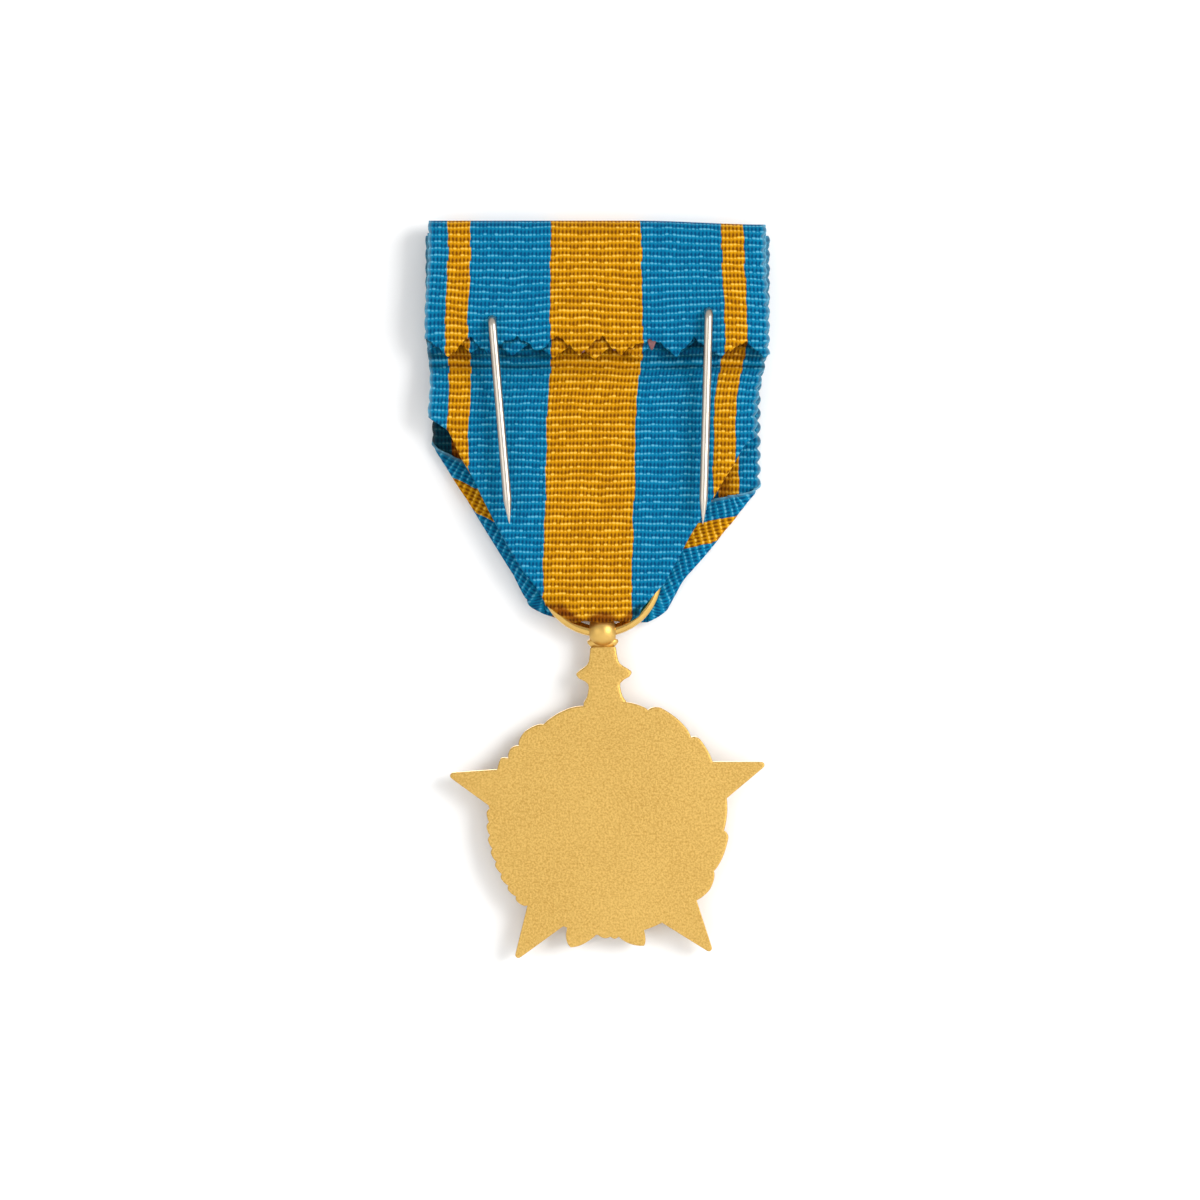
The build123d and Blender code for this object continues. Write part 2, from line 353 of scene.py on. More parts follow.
def ribbon_material():
    """Ribbed warp-faced weave: a rib is |sin(pi v / pitch)|, a warp thread |sin(pi u / pitch)|.

    Seven stripes across the width pick the colour, each thread and each cell varies a little.
    Each rib's upper side is painted lighter, as if lit from above, its lower side painted darker.
    Painted shade darkens the cloth deep in its folds and round the ring and ball, on faces towards +Y.
    """
    s = sizes()
    g = Graph("ribbon_weave")
    uv = g.node("ShaderNodeUVMap", uv_map="weave").outputs[0]
    parts = g.node("ShaderNodeSeparateXYZ", {0: uv})
    u, v = parts.outputs[0], parts.outputs[1]
    wobble = g.noise(g.pair(u, v), 0.30)
    v_soft = g.vary(wobble, 0.45, v)
    column = g.math("FLOOR", g.math("DIVIDE", u, s["thread_pitch"]))
    row = g.math("FLOOR", g.math("DIVIDE", v_soft, s["rib_pitch"]))
    cell = g.pair(column, row)
    random_cell = g.node("ShaderNodeTexWhiteNoise", {0: cell}, noise_dimensions="3D").outputs[0]
    random_row = g.node("ShaderNodeTexWhiteNoise", {1: row}, noise_dimensions="1D").outputs[0]
    random_thread = g.noise(g.pair(g.math("MULTIPLY", column, 7.3), v), 0.35)
    fibre = g.noise(g.pair(g.math("MULTIPLY", u, 6.0), g.math("MULTIPLY", v, 1.6)), 2.4, 3.0, 0.6)
    v_soft = g.vary(random_cell, 0.10, v_soft)
    rib = g.math("POWER", g.humps(v_soft, s["rib_pitch"]), 0.62)
    thread = g.humps(u, s["thread_pitch"])
    height = g.math("MULTIPLY", rib, g.math("MULTIPLY_ADD", thread, 0.66, 0.34))
    height = g.vary(fibre, 0.25, height)

    # Painted light and shade: each rib's upper side lit, its lower side shaded, darkest between threads.
    turn = g.math("MULTIPLY", v_soft, 2.0 * math.pi / s["rib_pitch"])
    rib_highlight = g.math("POWER", g.swing(turn, -1.75), 3.5)
    gap = g.math("POWER", g.math("SUBTRACT", 1.0, thread), 0.8)
    shade = g.math("MULTIPLY", g.swing(turn, 0.75), g.math("MULTIPLY_ADD", gap, 1.05, 0.22))
    lit = g.math("MULTIPLY_ADD", g.math("MULTIPLY", rib_highlight, thread), 0.22, 0.80)
    lit = g.math("SUBTRACT", lit, shade)
    for noise, amount in ((random_cell, 0.20), (fibre, 0.30), (random_thread, 0.45)):
        lit = g.vary(noise, amount, lit)
    is_gold = stripe_mask(g, g.vary(random_row, 0.16, g.vary(wobble, 0.45, u)))
    light = g.mix(is_gold, tint("blue"), tint("gold"))
    dark = g.mix(is_gold, tint("blue_dark"), tint("gold_dark"))
    cloth = g.mix(g.clamp(lit), dark, light)

    # Painted glints: bright spots on each rib's lit side, in some cells more than others.
    shine = g.math("MULTIPLY", rib_highlight, g.math("MULTIPLY_ADD", thread, 0.6, 0.4))
    shine = g.vary(random_cell, 0.55, shine)
    shine = g.clamp(g.math("MULTIPLY", g.math("SUBTRACT", shine, 0.52), 2.0))
    glint_tint = g.mix(is_gold, BLUE_GLINT, GOLD_GLINT)
    cloth = g.mix(g.math("MULTIPLY", shine, 0.55), cloth, glint_tint)
    inside = g.math("SUBTRACT", g.math("ABSOLUTE", u), s["ribbon_width"] / 2 - SELVEDGE)
    selvedge = g.clamp(g.math("DIVIDE", inside, SELVEDGE))
    cloth = g.mix(g.math("MULTIPLY", selvedge, 0.55), cloth, PALE_SELVEDGE)
    # Painted shade, kept as a per-point attribute, darkens only faces turned towards +Y.
    painted_shade = g.node("ShaderNodeAttribute", attribute_name="painted_shade").outputs["Fac"]
    faces = g.node("ShaderNodeSeparateXYZ", {0: g.node("ShaderNodeNewGeometry").outputs["True Normal"]})
    painted_shade = g.math("MULTIPLY", painted_shade, g.clamp(faces.outputs[1]))
    shader = g.surface(
        {
            "Base Color": g.mix(painted_shade, cloth, PAINTED_SHADE_TINT, "MULTIPLY"),
            "Roughness": g.math("MULTIPLY_ADD", random_cell, 0.18, 0.58),
            "Specular IOR Level": 0.05,
            "Normal": g.bump(height, 0.70, 0.00010),
        }
    )
    return g.finish(shader)


def grained_gilt():
    """Fine-grained matt gilt: small lumps of two sizes, darker in their hollows."""
    g = Graph("grained_gilt")
    at = object_coordinates(g)
    grain = g.noise(at, 4600.0, 3.0, 0.6)
    lumps = g.node("ShaderNodeTexVoronoi", {"Vector": at, "Scale": 5200.0}).outputs["Distance"]
    tone = g.clamp(g.vary(g.noise(at, 130.0, 3.0), 0.35, g.vary(grain, 3.4, 0.58)))
    base = tint("gilt")
    colour = g.mix(tone, shaded(base, 0.72, 0.64, 0.50), base)
    rough = g.math("MULTIPLY_ADD", grain, 0.15, 0.42)
    height = g.math("MULTIPLY_ADD", lumps, 0.5, grain)
    return g.finish(g.metal(colour, rough, g.bump(height, 0.55, 0.00005)))


def polished_gilt(name, least_rough):
    """Polished gilt with faint rub marks and slightly duller patches."""
    g = Graph(name)
    at = object_coordinates(g)
    patches = g.noise(at, 700.0, 3.0)
    marks = g.noise(g.stretched(at, (1.0, 1.0, 9.0)), 900.0, 4.0)
    base = tint("gilt")
    colour = g.mix(patches, shaded(base, 0.86, 0.78, 0.66), base)
    rough = g.math("MULTIPLY_ADD", patches, 0.16, least_rough)
    return g.finish(g.metal(colour, rough, g.bump(marks, 0.12, 0.00002)))


def nickel_wire():
    """Drawn nickel-plated wire: fine streaks along its length, warm grey."""
    g = Graph("nickel_wire")
    at = object_coordinates(g)
    streaks = g.noise(g.stretched(at, (9.0, 9.0, 0.6)), 900.0, 3.0)
    base = tint("nickel")
    colour = g.mix(g.noise(at, 420.0, 3.0), shaded(base, 0.80, 0.76, 0.70), base)
    rough = g.math("MULTIPLY_ADD", streaks, 0.20, 0.22)
    return g.finish(g.metal(colour, rough, g.bump(streaks, 0.15, 0.00002)))


def plain_bar_metal():
    """Rolled steel strip with faint rolling marks."""
    g = Graph("bar_steel")
    marks = g.noise(g.stretched(object_coordinates(g), (0.4, 6.0, 8.0)), 800.0, 3.0)
    base = tint("nickel")
    colour = g.mix(marks, shaded(base, 0.6, 0.6, 0.62), base)
    return g.finish(g.metal(colour, g.math("MULTIPLY_ADD", marks, 0.2, 0.35)))


def glue_film():
    """A thin dull film with streaks where it was pulled out."""
    g = Graph("glue_film")
    streaks = g.noise(g.stretched(object_coordinates(g), (1.0, 1.0, 3.0)), 1600.0, 4.0)
    base = tint("glue")
    tone = g.mix(streaks, base, shaded(base, 1.9, 2.2, 2.0))
    bump = g.bump(streaks, 0.5, 0.00006)
    return g.finish(g.surface({"Base Color": tone, "Roughness": 0.6, "Normal": bump}))


def paper(one_sided):
    """Plain matt paper.

    A one-sided sheet can't be seen from behind, and light from behind it reaches the medal's front.
    """
    g = Graph("backdrop_paper" if one_sided else "floor_paper")
    base = tint("paper")
    tone = g.mix(g.noise(object_coordinates(g), 300.0, 3.0), shaded(base, 0.985, 0.985, 0.985), base)
    face = g.surface({"Base Color": tone, "Roughness": 0.9, "Specular IOR Level": 0.1})
    if not one_sided:
        return g.finish(face)
    path = g.node("ShaderNodeLightPath")
    direct = g.math("SUBTRACT", 1.0, path.outputs["Diffuse Depth"])
    to_light = g.math("MAXIMUM", path.outputs["Is Shadow Ray"], path.outputs["Is Glossy Ray"])
    through = g.math("MULTIPLY", g.clamp(direct), to_light)
    behind = g.node("ShaderNodeNewGeometry").outputs["Backfacing"]
    clear = g.node("ShaderNodeBsdfTransparent").outputs[0]
    unseen = g.math("MAXIMUM", through, behind)
    return g.finish(g.node("ShaderNodeMixShader", {0: unseen, 1: face, 2: clear}).outputs[0])


# ---------------------------------------------------------------- ribbon

FLAP_Y = -1.30
FRONT_Y = -4.36
INNER_END_Y = -1.80
BACK_TOP_Y = -2.88
BACK_LOW_Y = -1.78
TURN = (FLAP_Y - FRONT_Y) / 2.0
TURN_Z = TOP - 0.125 - TURN
FRONT_FOOT = -33.3
BACK_FOOT = -32.35
WAIST_HALF = 4.9
FOLD = 0.19
CLOTH_TO_BALL = 0.21
TOOTH_PITCH = 4.93
PLEAT_Z = -5.3
PLEAT_PITCH = 1.2
BACK_TOP = 8.3
INNER_TOP = 7.9
PANEL_ROWS, PANEL_COLUMNS = 330, 101
TUCK_ROWS = 34
FLAP_ROWS, FLAP_COLUMNS = 84, 226
INNER_ROWS, INNER_COLUMNS = 60, 150
# Degrees of ring sway, each way, over which the cloth is kept clear of the ball.
SWAY = 15.5
# Lengths of the strip that each sheet takes, laid flat.
FLAP_LENGTH, PANEL_LENGTH, INNER_LENGTH = 17.4, 42.6, 14.0
# How each side is folded, +X first: a height, the half width there, and the line's slope, then for
# the front where it bends, by how much, and where it rounds in; for the back its curve and its top.
FRONT_FOLDS = ((-15.1, 17.0, 0.626, -28.4, 0.16, -31.2), (-18.6, 17.34, 0.807, -29.0, 0.24, -31.9))
BACK_FOLDS = ((-14.3, 14.4, 0.50, -0.0045, -12.9), (-14.44, 15.95, 0.575, 0.002, -14.2))


def edge_scallops(u, v, half):
    """Small loops of weft along each edge: every second rib stands out, more on one side."""
    loop = np.abs(np.sin(math.pi * v / (2.0 * sizes()["rib_pitch"]))) ** 0.8
    strength = np.where(u > 0, 0.16, 0.44)
    return np.sign(u) * strength * (loop - 0.65) * smooth(np.abs(u), half - 0.9, half)


def rib_lift(v):
    """Height of the woven ribs above the cloth's middle: a rounded |sin| of the rib pitch."""
    return 0.046 * np.abs(np.sin(math.pi * v / sizes()["rib_pitch"])) ** 0.8


def flare(z, top):
    """Extra half width above a height, where a fold line runs out to the edge."""
    return 0.85 * np.clip(z - top, 0.0, None) ** 1.3


def front_half_width(z, side):
    """Where the front's side is folded: a slanting line that steepens near the ring, then rounds in."""
    at, width, slope, bend, steeper, foot = FRONT_FOLDS[0 if side > 0 else 1]
    c = width - slope * (at - z) + steeper * np.clip(bend - z, 0.0, None)
    return c - 0.75 * np.clip(foot - z, 0.0, None) ** 1.6


def back_half_width(z, side):
    """Where the back's side is folded: a slanting, slightly curved line, out to the edge at its top."""
    at, width, slope, curve, top = BACK_FOLDS[0 if side > 0 else 1]
    d = at - z
    steeper = 0.0 if side > 0 else 0.38 * np.clip(-29.3 - z, 0.0, None)
    return width - slope * d + curve * d**2 + flare(z, top) - steeper


def clear_of_ball(x, y, z):
    """Lift points that would enter the ball, wherever it sways to along the ring.

    The height of the balls' upper surfaces at (x, y) is their centre's, plus
    sqrt(reach^2 - dx^2 - dy^2); the highest of them is blended smoothly with z.
    """
    reach = BALL_RADIUS + CLOTH_TO_BALL
    sway = np.radians(np.linspace(-SWAY, SWAY, 9))[:, None, None]
    bx = RING_CENTRE[0] + RING_RADIUS * np.sin(sway)
    bz = RING_CENTRE[2] - RING_RADIUS * np.cos(sway)
    inside = reach**2 - (x - bx) ** 2 - (y - RING_CENTRE[1]) ** 2
    top = np.where(inside > 0, bz + np.sqrt(np.clip(inside, 0.0, None)), -1000.0).max(axis=0)
    return np.maximum(np.logaddexp(8.0 * z, 8.0 * top) / 8.0, top)


def fold_sides(u, x_scale, z, half_width_at, toward):
    """Fold a strip's sides about slanting lines, as a page is turned.

    Beyond the fold line a point goes round a half circle and then back, mirrored in the line:
    across the line by r sin(a / r), then -(a - pi r), and in depth by r (1 - cos(a / r)), then 2 r.
    """
    side = np.where(u >= 0, 1.0, -1.0)
    c = np.where(side > 0, half_width_at(z, 1), half_width_at(z, -1))
    widest = np.abs(u).max() * x_scale
    above = np.where(side > 0, half_width_at(z + 4.0, 1), half_width_at(z + 4.0, -1))
    slope = (np.minimum(above, widest) - np.minimum(c, widest - 0.5)) / 4.0
    theta = np.arctan(np.clip(slope, 0.45, 0.80))
    over = np.clip(np.abs(u) * x_scale - c, 0.0, None)
    radius = np.where(side > 0, FOLD, FOLD * 1.45)
    across, along = over * np.cos(theta), over * np.sin(theta)
    turned = across < math.pi * radius
    f = np.where(turned, radius * np.sin(across / radius), -(across - math.pi * radius))
    g = np.where(turned, radius * (1.0 - np.cos(across / radius)), 2.0 * radius)
    inner = np.minimum(np.abs(u) * x_scale, c)
    x = side * (inner + along * np.sin(theta) + f * np.cos(theta))
    return x, toward * g, z + along * np.cos(theta) - f * np.sin(theta), over


def strip_columns(half, c_plus, c_minus, count):
    """Positions across the strip for each row, close together where its sides fold.

    Of the columns, 62% lie between the folds, 8% on each fold and the rest outside them.
    """
    p = np.linspace(-1.0, 1.0, count)
    sides = []
    for side, c in ((-1, c_minus), (1, c_plus)):
        c = np.clip(c, 4.0, half - 0.75)
        knots = np.stack([np.zeros_like(c), c - 0.12, c + 0.68, np.full_like(c, half)], axis=1)
        at = [0.0, 0.62, 0.78, 1.0]
        q = np.abs(p[p < 0]) if side < 0 else p[p >= 0]
        rows = [np.interp(q, at, k) for k in knots]
        sides.append(side * np.array(rows))
    return np.concatenate(sides, axis=1)


def ring_tuck(x):
    """Height of the cloth's lowest line inside the ring: the ring's inner circle, less a gap."""
    inner = RING_RADIUS - 0.6 - 0.15
    return RING_CENTRE[2] - np.sqrt(np.clip(inner**2 - x**2, 0.05, None))


def waist(x, over):
    """The line where front and back meet inside the ring, gathered to fit through it."""
    side = np.where(x >= 0, 1.0, -1.0)
    inner = np.clip(0.84 * np.abs(x), 0.0, WAIST_HALF)
    return side * (inner - 0.22 * over), ring_tuck(inner) + 0.34 * over


def front_depth(u, v, z):
    """Y of the front: bowed a little at its top, and raised by its ribs."""
    return FRONT_Y + 0.10 * np.cos(u * 0.17) * smooth(-z, -8.0, 6.0) - rib_lift(v)


def back_depth(u, v, z):
    """Y of the back: a step outwards below the flap, a pocket, a belly, and pleats under the teeth."""
    step = (BACK_LOW_Y - BACK_TOP_Y) * smooth(-z, 4.4, 8.6)
    pocket = 0.10 * np.sin(u * 0.5 + 0.6) * bell(z + 7.5, 3.0)
    belly = 0.16 * np.sin(z * 0.36) * bell(u, 9.0) * smooth(-z, 9.0, 14.0) * (1 - smooth(-z, 26.0, 31.0))
    pleat = 0.17 * np.cos(2 * math.pi * (z - PLEAT_Z) / PLEAT_PITCH) * bell(z - PLEAT_Z, 1.1)
    pleat = pleat * (0.4 + 0.6 * smooth(-u, 0.0, 6.0))
    return BACK_TOP_Y + step + pocket + belly + rib_lift(v) + pleat


def tuck_in(foot, over, front):
    """Rows of a quarter ellipse from a panel's foot to the waist, with a dip of sin(2 tau) on the way."""
    x, y, z = foot
    to_x, to_z = waist(x, over)
    tau = (np.arange(1, TUCK_ROWS + 1) / TUCK_ROWS)[:, None] * (math.pi / 2)
    dip = 0.25 * smooth(np.abs(x), 1.5, 5.5) if front else 0.45
    return (
        x + (to_x - x) * (1.0 - np.cos(tau)),
        RING_CENTRE[1] + (y - RING_CENTRE[1]) * np.cos(tau) ** 0.65,
        z + (to_z - z) * np.sin(tau) - dip * np.sin(2.0 * tau),
    )


def panel(kind):
    """A front or back panel with its folded sides, from its top down to the waist in the ring.

    Above the foot each row is level and its sides are folded; below it every column goes round a
    quarter ellipse into the ring, to the waist that both panels share.
    """
    half = sizes()["ribbon_width"] / 2.0
    front = kind == "front"
    at_width = front_half_width if front else back_half_width
    top, low = (TURN_Z, FRONT_FOOT) if front else (BACK_TOP, BACK_FOOT)
    z_line = np.linspace(top, low, PANEL_ROWS)
    u = strip_columns(half, at_width(z_line, 1), at_width(z_line, -1), PANEL_COLUMNS)
    z = np.repeat(z_line[:, None], PANEL_COLUMNS, axis=1)
    if front:
        z = z + 0.85 * smooth(u, 3.0, 6.0) * smooth(-z, 28.0, -FRONT_FOOT)
        shift = 0.35
    else:
        z = z + np.where(u > 0, 1.2, 0.3) * smooth(np.abs(u), 2.2, 6.2) * smooth(-z, 26.0, -BACK_FOOT)
        shift = 0.35 + 0.55 * smooth(-z, 4.0, 12.0) + 0.45 * smooth(-z, 12.0, 31.0)
    tight = np.where(u > 0, 0.035, 0.050) if front else 0.045
    narrow = 1.0 - tight * smooth(-z, 2.0, 9.0)
    v = TURN_Z - z + (0.0 if front else 0.31)
    x, depth, lower, over = fold_sides(u, narrow, z, at_width, 1.0 if front else -1.0)
    x = x + edge_scallops(u, v, half) + shift
    swell = 0.36 * smooth(-z, 29.0, 32.0) * (1.0 - smooth(np.abs(u), 3.2, 5.2))
    y = front_depth(u, v, z) - swell if front else back_depth(u, v, z) + swell
    y = y + depth
    sag = 0.16 * np.sin(u * 0.42 + 0.8) * bell(z + 2.0, 6.0)
    z = lower + sag
    tucked = tuck_in((x[-1], y[-1], z[-1]), over[-1], front)
    x, y, z = (np.concatenate(both) for both in zip((x, y, z), tucked))
    z = clear_of_ball(x, y, z)
    steps = np.linalg.norm(np.diff(np.stack([x, y, z], -1), axis=0), axis=-1)
    v = np.concatenate([v, v[-1] + np.cumsum(steps[PANEL_ROWS - 1 :], axis=0)])
    u, over = (np.concatenate([a, np.repeat(a[-1:], TUCK_ROWS, axis=0)]) for a in (u, over))
    # Painted shade of the panel, weaker where its sides are folded over.
    painted_shade = (front_painted_shade if front else back_painted_shade)(u, x, z) * np.where(over > 0.1, 0.25, 1.0)
    return np.stack([x, y, z], -1), np.stack([u, v], -1), painted_shade


def between(x, low, high, soft):
    """One between two limits, falling smoothly to zero outside them."""
    return smooth(x, low - soft, low + soft) * (1.0 - smooth(x, high - soft, high + soft))


def front_painted_shade(u, x, z):
    """Painted shade on the front's inner face: deep inside the left fold, and along the right fold's foot."""
    left = 0.95 * between(z, -16.5, -10.0, 0.8) * smooth(u, 8.0, 10.5)
    right = 0.75 * between(z, -20.5, -13.8, 1.0) * between(-u, 8.0, 15.2, 0.9)
    return left + right


def back_painted_shade(u, x, z):
    """Painted shade on the back: below the flap's teeth, more on the right, along the flap's edge, and round
    the ring and ball.
    """
    valley = 0.5 - 0.5 * np.cos(2 * math.pi * (z - PLEAT_Z) / PLEAT_PITCH)
    side = smooth(np.abs(u + 1.5), 4.0, 8.0)
    below_teeth = between(z, -6.3, -3.0, 0.6) * (0.16 + 0.55 * valley * side)
    reach = np.hypot(x, z - RING_CENTRE[2])
    by_ring = 0.95 * smooth(reach, 4.75, 5.35) * smooth(-z, 30.8, 32.0) * (np.abs(x) < 6.0)
    over_ball = 0.95 * (1.0 - smooth(np.hypot(x + 0.2, z + 34.4), 1.75, 2.6))
    return np.maximum.reduce([below_teeth, by_ring, over_ball, edge_shadow(u, z)])


def zigzag(x, pitch, phase, depth):
    """A triangle wave from 0 at a valley to depth at a tip."""
    t = np.abs(((x - phase) / pitch) % 1.0 - 0.5) * 2.0
    return depth * (1.0 - t)


def flap_edge(u):
    """Height of the flap's pinked edge: a slant, uneven teeth, a drop at one side and a ragged cut."""
    drop = 0.55 * bell(u - 16.0, 3.0) + 0.25 * np.sin(u * 0.9) ** 2
    uneven = u - 0.62 * bell(u + 1.0, 5.0) + 0.28 * np.sin(u * 0.83 + 1.3)
    teeth = zigzag(uneven, TOOTH_PITCH, 13.8, sizes()["tooth_depth"])
    ragged = 0.10 * np.sin(u * 5.3) + 0.07 * np.sin(u * 8.9 + 1.0)
    return -2.62 + 0.022 * (u + 2.0) - teeth - drop + ragged


def edge_shadow(u, z):
    """Painted shadow of the flap's edge, on the cloth just under it."""
    return 0.75 * bell(z - flap_edge(u) + 0.05, 0.34)


def flap_surface():
    """The outer end: from its pinked edge up the back, over the top in a half circle, to the front."""
    half = sizes()["ribbon_width"] / 2.0
    u = np.linspace(-half, half, FLAP_COLUMNS)[None, :]
    edge = flap_edge(u)
    rising = edge + (TURN_Z - edge) * np.linspace(0.0, 1.0, FLAP_ROWS)[:, None]
    phi = np.linspace(0.0, math.pi, 34)[1:, None]
    level = np.ones((FLAP_ROWS, 1))
    outward = np.concatenate([level, np.cos(phi)])
    upward = np.concatenate([0.0 * level, np.sin(phi)])
    z = np.concatenate([rising, TURN_Z + TURN * np.sin(phi) + 0.0 * u])
    v = np.concatenate([TURN_Z - rising + 0.2, 0.2 - TURN * phi + 0.0 * u])
    u = u + 0.0 * z
    bulge = 0.30 * bell(z + 0.2, 2.2) * (1.0 - 0.3 * (u / half) ** 2)
    crease = -0.10 * bell(z - 2.6 - 0.05 * u, 0.5) * smooth(-u, 4.0, 9.0) * (1.0 - smooth(-u, 15.0, 18.0))
    curl = 0.24 * np.sin(u * 1.28 + 0.5) * bell(z - edge, 1.0)
    wave = 0.07 * np.sin(u * 0.45 + 1.0) * smooth(z, 9.0, -2.0)
    lift = rib_lift(v)
    y = (FLAP_Y + FRONT_Y) / 2.0 + (TURN + lift) * outward
    y = y + (bulge + crease + curl + wave) * (outward > 0.5)
    z = z + lift * upward
    x = u * (0.978 + 0.020 * smooth(-z, -7.0, 1.5)) + edge_scallops(u, v, half) + 0.40
    back = np.concatenate([level, smooth(-phi, -math.pi, -math.pi / 2)])
    z = z - 0.42 * smooth(-u, 4.5, 18.5) * smooth(z, -2.0, 9.0) * back
    z = z + 0.20 * np.sin(u * 0.40 + 0.6) * bell(z - 1.0, 3.5) * (outward > 0.5)
    # The flap has no painted shade.
    return np.stack([x, y, z], -1), np.stack([u, v], -1), 0.0 * x


def inner_end_surface():
    """The inner end: its pinked teeth show below the flap in the middle, the rest is hidden."""
    half = sizes()["ribbon_width"] / 2.0
    u = np.linspace(-half, half, INNER_COLUMNS)[None, :]
    edge = -3.35 + 0.010 * np.abs(u) ** 1.6 - zigzag(u, 4.5, 2.5, 1.75)
    rising = edge + (INNER_TOP - edge) * np.linspace(0.0, 1.0, INNER_ROWS)[:, None]
    r = (INNER_END_Y - BACK_TOP_Y) / 2.0
    phi = np.linspace(0.0, math.pi, 16)[1:, None]
    z = np.concatenate([rising, INNER_TOP + r * np.sin(phi) + 0.0 * u])
    v = np.concatenate([INNER_TOP - rising, -r * phi + 0.0 * u]) + 0.45
    outward = np.concatenate([np.ones((INNER_ROWS, 1)), np.cos(phi)])
    u = u + 0.0 * z
    y = (INNER_END_Y + BACK_TOP_Y) / 2.0 + r * outward
    y = y + 0.5 * rib_lift(v) * (np.arange(len(z))[:, None] < INNER_ROWS)
    # Painted shade: a little under the flap, and the painted shadow of the flap's edge.
    painted_shade = np.maximum(0.12 * smooth(-z, 3.2, 4.2), edge_shadow(u, z))
    return np.stack([u * 0.985 + 0.4, y, z], -1), np.stack([u, v], -1), painted_shade


def thicken(obj, wall):
    """Give a film or a cloth its thickness, half to each side."""
    solid = obj.modifiers.new("thickness", "SOLIDIFY")
    solid.thickness = wall * MM
    solid.offset = 0.0
    return solid


def make_sheet(name, points, uv, painted_shade, material, flat_length):
    """A cloth sheet: its surface, given its thickness both ways; its cut size, flat_length, is not used."""
    s = sizes()
    obj = make_mesh(name, [open_grid(points)], material, uv)
    # The painted shade is stored on each point, for the weave's material.
    layer = obj.data.attributes.new("painted_shade", "FLOAT", "POINT")
    layer.data.foreach_set("value", np.clip(painted_shade, 0.0, 1.0).astype(np.float32).ravel())
    thicken(obj, s["cloth"]).use_even_offset = False
    fit(obj, "ribbon", "ribbon")


class MEDAL_OT_ribbon(bpy.types.Operator):
    """The folded ribbon: its outer flap, front, back and inner end"""

    bl_idname = "medal.ribbon"
    bl_label = "Ribbon"

    def execute(self, context):
        """Make the four sheets in one weave."""
        need("ribbon", "pin_bar", "suspension_ring")
        weave = ribbon_material()
        make_sheet("ribbon_flap", *flap_surface(), weave, FLAP_LENGTH)
        make_sheet("ribbon_front", *panel("front"), weave, PANEL_LENGTH)
        make_sheet("ribbon_back", *panel("back"), weave, PANEL_LENGTH)
        make_sheet("ribbon_inner_end", *inner_end_surface(), weave, INNER_LENGTH)
        return {"FINISHED"}


# ---------------------------------------------------------------- adhesive

FILM = 0.06
FILM_Y = -1.56
FILM_TOP = 2.5
FILM_LOW = -2.35
FILM_ENDS = (-12.0, 11.0)
# Each tongue of the film: its middle along X, its half width and how far it hangs down.
TONGUES = ((-1.5, 0.4, 1.9), (-5.5, 0.55, 1.7), (1.9, 0.8, 1.9))


def film_surface():
    """The film: from a level top down to a wavy edge with bell-shaped tongues, slightly rumpled."""
    u = np.linspace(*FILM_ENDS, 140)[None, :]
    low = FILM_LOW + 0.12 * np.sin(u * 2.3) + 0.08 * np.sin(u * 5.1 + 1.0)
    for at, wide, drop in TONGUES:
        low = low - drop * bell(u - at, wide)
    z = low + (FILM_TOP - low) * np.linspace(0.0, 1.0, 24)[:, None]
    y = FILM_Y + 0.02 * np.sin(u * 4.0 + z * 3.0)
    return np.stack([u + 0.0 * z, y, z], -1)


class MEDAL_OT_adhesive(bpy.types.Operator):
    """The film of adhesive that shows between the teeth"""

    bl_idname = "medal.adhesive"
    bl_label = "Adhesive film"

    def execute(self, context):
        """Make the film."""
        need("adhesive_strip")
        obj = make_mesh("adhesive_film", [open_grid(film_surface())], glue_film())
        thicken(obj, FILM)
        fit(obj, "ribbon", "adhesive_strip")
        return {"FINISHED"}


# ---------------------------------------------------------------- pins

PIN_ROOT = -2.55
PIN_BEND = 0.9
PIN_DROP = 22.9
PIN_POINT = 2.7
# Each pin: its node, its place along X, its lean in degrees and how far its bend droops.
PINS = (("pin_right", 11.7, 4.9, 0.9), ("pin_left", -11.6, -1.6, 0.05))


def pin_surface(x, lean, droop):
    """A wire carried along a leg, a quarter bend and a long drop, then a cone to a fine point.

    Each ring of the surface is a circle square to the path; the lean turns it all about Y. The
    droop lowers the bend below the bar's hole, fading out towards the point.
    """
    shank = PIN_DROP - PIN_POINT
    leg = np.linspace(PIN_ROOT, -PIN_BEND, 8)[:-1]
    arc = np.linspace(0.0, math.pi / 2, 14)
    fall = np.linspace(-PIN_BEND, -shank, 40)[1:]
    tip = np.linspace(0.0, 1.0, 16)[1:]
    cy = np.concatenate([leg, -PIN_BEND + PIN_BEND * np.sin(arc), 0 * fall, 0 * tip])
    cz = np.concatenate([0 * leg, -PIN_BEND + PIN_BEND * np.cos(arc), fall, -shank - PIN_POINT * tip])
    turn = np.concatenate([0 * leg, arc, 0 * fall + math.pi / 2, 0 * tip + math.pi / 2])
    taper = np.concatenate([np.ones(len(leg) + len(arc) + len(fall)), (1.0 - tip) ** 0.85 * 0.96 + 0.04])
    a = turns(28)[None, :]
    r = sizes()["pin"] / 2.0 * taper[:, None]
    px = r * np.cos(a)
    py = cy[:, None] + r * np.sin(a) * np.sin(turn)[:, None]
    lower = droop * smooth(cy, -2.2, -0.7) * (1.0 + cz / PIN_DROP)
    pz = (cz - lower)[:, None] + r * np.sin(a) * np.cos(turn)[:, None]
    c, s = math.cos(lean), math.sin(lean)
    return np.stack([px * c + pz * s + x, py, -px * s + pz * c], -1)


